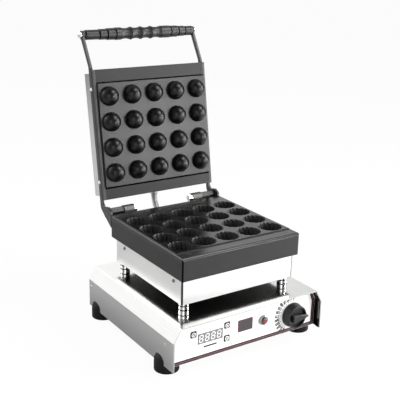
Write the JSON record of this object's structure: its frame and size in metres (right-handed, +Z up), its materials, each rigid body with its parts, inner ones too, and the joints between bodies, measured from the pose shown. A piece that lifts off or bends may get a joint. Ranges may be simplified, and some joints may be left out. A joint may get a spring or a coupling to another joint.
{
  "type": "tartlet shell maker",
  "caption": "Countertop electric press for tartlet shells: fluted cups in a heated lower mould, domes in a hinged lid, on a steel control base.",
  "frame": {"origin": "centre of the footprint of the whole machine with its lid open, at the level of the feet's undersides", "axes": "+X to the right when standing in front of the controls, +Y from the controls to the hinge, +Z up"},
  "size_m": [0.331, 0.4108, 0.5308],
  "materials": {
    "stainless_sheet": "fine polished stainless sheet",
    "plain_sheet": "mill-finish steel sheet",
    "coated_casting": "satin black non-stick coating on cast aluminium",
    "coated_steel": "satin dark coating on steel",
    "cast_bracket": "machined light alloy",
    "chrome_plate": "bright plating",
    "zinc_fastener": "zinc-plated fasteners",
    "dark_fastener": "blackened screws",
    "foot_rubber": "matt moulded rubber",
    "black_moulding": "moulded heat-resistant plastic",
    "key_plastic": "dark key cap with a light ring",
    "overlay_film": "printed film, pale with a dark red and black border",
    "badge_metal": "blank dark plate",
    "display_lens": "grey lens with four light digits",
    "lamp_red": "translucent red lens",
    "board": "circuit board and its parts",
    "wool": "mineral wool board",
    "element_steel": "oxidised tubular element",
    "braid": "braided sleeve over the lead",
    "silicone": "silicone sleeve",
    "ceramic": "terminal block"
  },
  "bodies": {
    "base": {"base_shell": "stainless_sheet", "front_panel": "stainless_sheet", "panel_overlay": "overlay_film", "rear_panel": "plain_sheet", "floor_plate": "plain_sheet", "foot_front_left": "foot_rubber", "foot_front_right": "foot_rubber", "foot_back_left": "foot_rubber", "foot_back_right": "foot_rubber", "foot_screws": "zinc_fastener", "panel_screws": "zinc_fastener", "posts": "chrome_plate", "post_studs": "zinc_fastener", "wire_sleeve": "silicone", "lower_housing": "stainless_sheet", "housing_screws": "dark_fastener", "lower_mould": "coated_casting", "ledge_screws": "dark_fastener", "lower_element": "element_steel", "lower_clamp": "plain_sheet", "clamp_screws": "zinc_fastener", "lower_insulation": "wool", "display_window": "display_lens", "display_module": "black_moulding", "control_board": "board", "board_standoffs": "zinc_fastener", "badge_plate": "badge_metal", "lamp_bezel": "chrome_plate", "lamp_lens": "lamp_red", "lamp_body": "black_moulding", "thermostat": "zinc_fastener", "panel_nuts": "zinc_fastener", "thermostat_bulb": "zinc_fastener", "terminal_block": "ceramic", "cable_gland": "black_moulding", "lower_gland": "zinc_fastener", "lead_conduit": "braid", "hinge_bracket_left": "cast_bracket", "hinge_bracket_right": "cast_bracket", "bracket_bolts": "zinc_fastener"},
    "lid": {"arm_left": "coated_steel", "arm_right": "coated_steel", "lid_frame": "coated_steel", "lid_mould": "coated_casting", "lid_element": "element_steel", "lid_clamp": "plain_sheet", "lid_insulation": "wool", "lid_cover": "stainless_sheet", "arm_screws": "zinc_fastener", "handle_rod": "chrome_plate", "handle_grip": "black_moulding", "lid_gland": "zinc_fastener", "hinge_pins": "zinc_fastener", "hinge_spacers": "cast_bracket", "hinge_nuts": "chrome_plate"},
    "knob": {"temperature_knob": "black_moulding", "thermostat_shaft": "zinc_fastener"},
    "key_left": {"key_left": "key_plastic"},
    "key_upper": {"key_upper": "key_plastic"},
    "key_lower": {"key_lower": "key_plastic"}
  },
  "joints": [
    {"name": "lid_hinge", "type": "hinge", "parent": "base", "child": "lid", "pos_m": [0, 0.09902, 0.1988], "axis": [1, 0, 0], "range_deg": [0, 99.3], "deforming": ["lead_conduit"]},
    {"name": "knob_turn", "type": "hinge", "parent": "base", "child": "knob", "pos_m": [0.1033, -0.18358, 0.051], "axis": [0, 1, 0], "range_deg": [0, 270]},
    {"name": "key_left_press", "type": "slide", "parent": "base", "child": "key_left", "axis": [0, 1, 0], "range_m": [0, 0.0006], "stiffness_N_per_m": 900},
    {"name": "key_upper_press", "type": "slide", "parent": "base", "child": "key_upper", "axis": [0, 1, 0], "range_m": [0, 0.0006], "stiffness_N_per_m": 900},
    {"name": "key_lower_press", "type": "slide", "parent": "base", "child": "key_lower", "axis": [0, 1, 0], "range_m": [0, 0.0006], "stiffness_N_per_m": 900}
  ]
}
